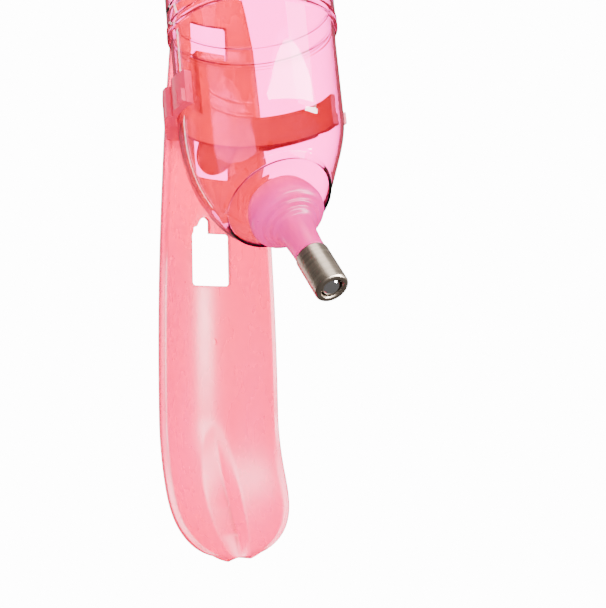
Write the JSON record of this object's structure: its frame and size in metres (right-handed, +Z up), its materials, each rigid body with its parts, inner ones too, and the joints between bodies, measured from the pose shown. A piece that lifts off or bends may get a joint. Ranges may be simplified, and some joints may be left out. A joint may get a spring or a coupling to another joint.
{
  "type": "rabbit water bottle",
  "caption": "Hanging pet drinker: back plate with wire hook, clip cradle, clear bottle with angled neck, screw nozzle, steel sleeve and sprung ball.",
  "frame": {"origin": "centre of the inner, forward-facing flat of the hook's tail, which lies against the far side of the cage wall", "axes": "+Z up the back plate, -Y towards the drinking side, +X across the plate"},
  "size_m": [0.0758, 0.114, 0.2979],
  "materials": {
    "plate_plastic": "translucent pink moulded plastic, semi-gloss",
    "cradle_plastic": "translucent pink moulded plastic, semi-gloss",
    "bottle_plastic": "clear pink tinted PET, gloss",
    "cap_plastic": "milky pink polypropylene, satin",
    "silicone": "white silicone",
    "oring_rubber": "black nitrile rubber",
    "sleeve_steel": "fine circumferential brushing",
    "spring_steel": "drawn stainless wire",
    "ball_chrome": "polished bearing ball"
  },
  "bodies": {
    "holder": {"back_plate": "plate_plastic", "bottle_cradle": "cradle_plastic"},
    "bottle": {"bottle_body": "bottle_plastic"},
    "seal": {"cap_gasket": "silicone"},
    "nozzle": {"nozzle_cap": "cap_plastic", "steel_sleeve": "sleeve_steel", "sleeve_oring": "oring_rubber", "spring_retainer": "cap_plastic", "ball_spring": "spring_steel"},
    "ball": {"outlet_ball": "ball_chrome"}
  },
  "joints": [
    {"name": "bottle_lift", "type": "slide", "parent": "holder", "child": "bottle", "axis": [0, 0.1305, 0.9914], "range_m": [0, 0.1]},
    {"name": "cap_travel", "type": "slide", "parent": "bottle", "child": "seal", "axis": [0, -0.6833, -0.7302], "range_m": [0, 0.0061]},
    {"name": "cap_turn", "type": "hinge", "parent": "seal", "child": "nozzle", "pos_m": [0, -0.08213, -0.12573], "axis": [0, -0.6833, -0.7302], "range_deg": [0, 720]},
    {"name": "ball_press", "type": "slide", "parent": "nozzle", "child": "ball", "axis": [0, 0.6833, 0.7302], "range_m": [0, 0.002], "stiffness_N_per_m": 60, "deforming": ["ball_spring"]}
  ],
  "couplings": [
    {"joint": "cap_travel", "follows": "cap_turn", "m_per_rad": 0.00047746}
  ]
}
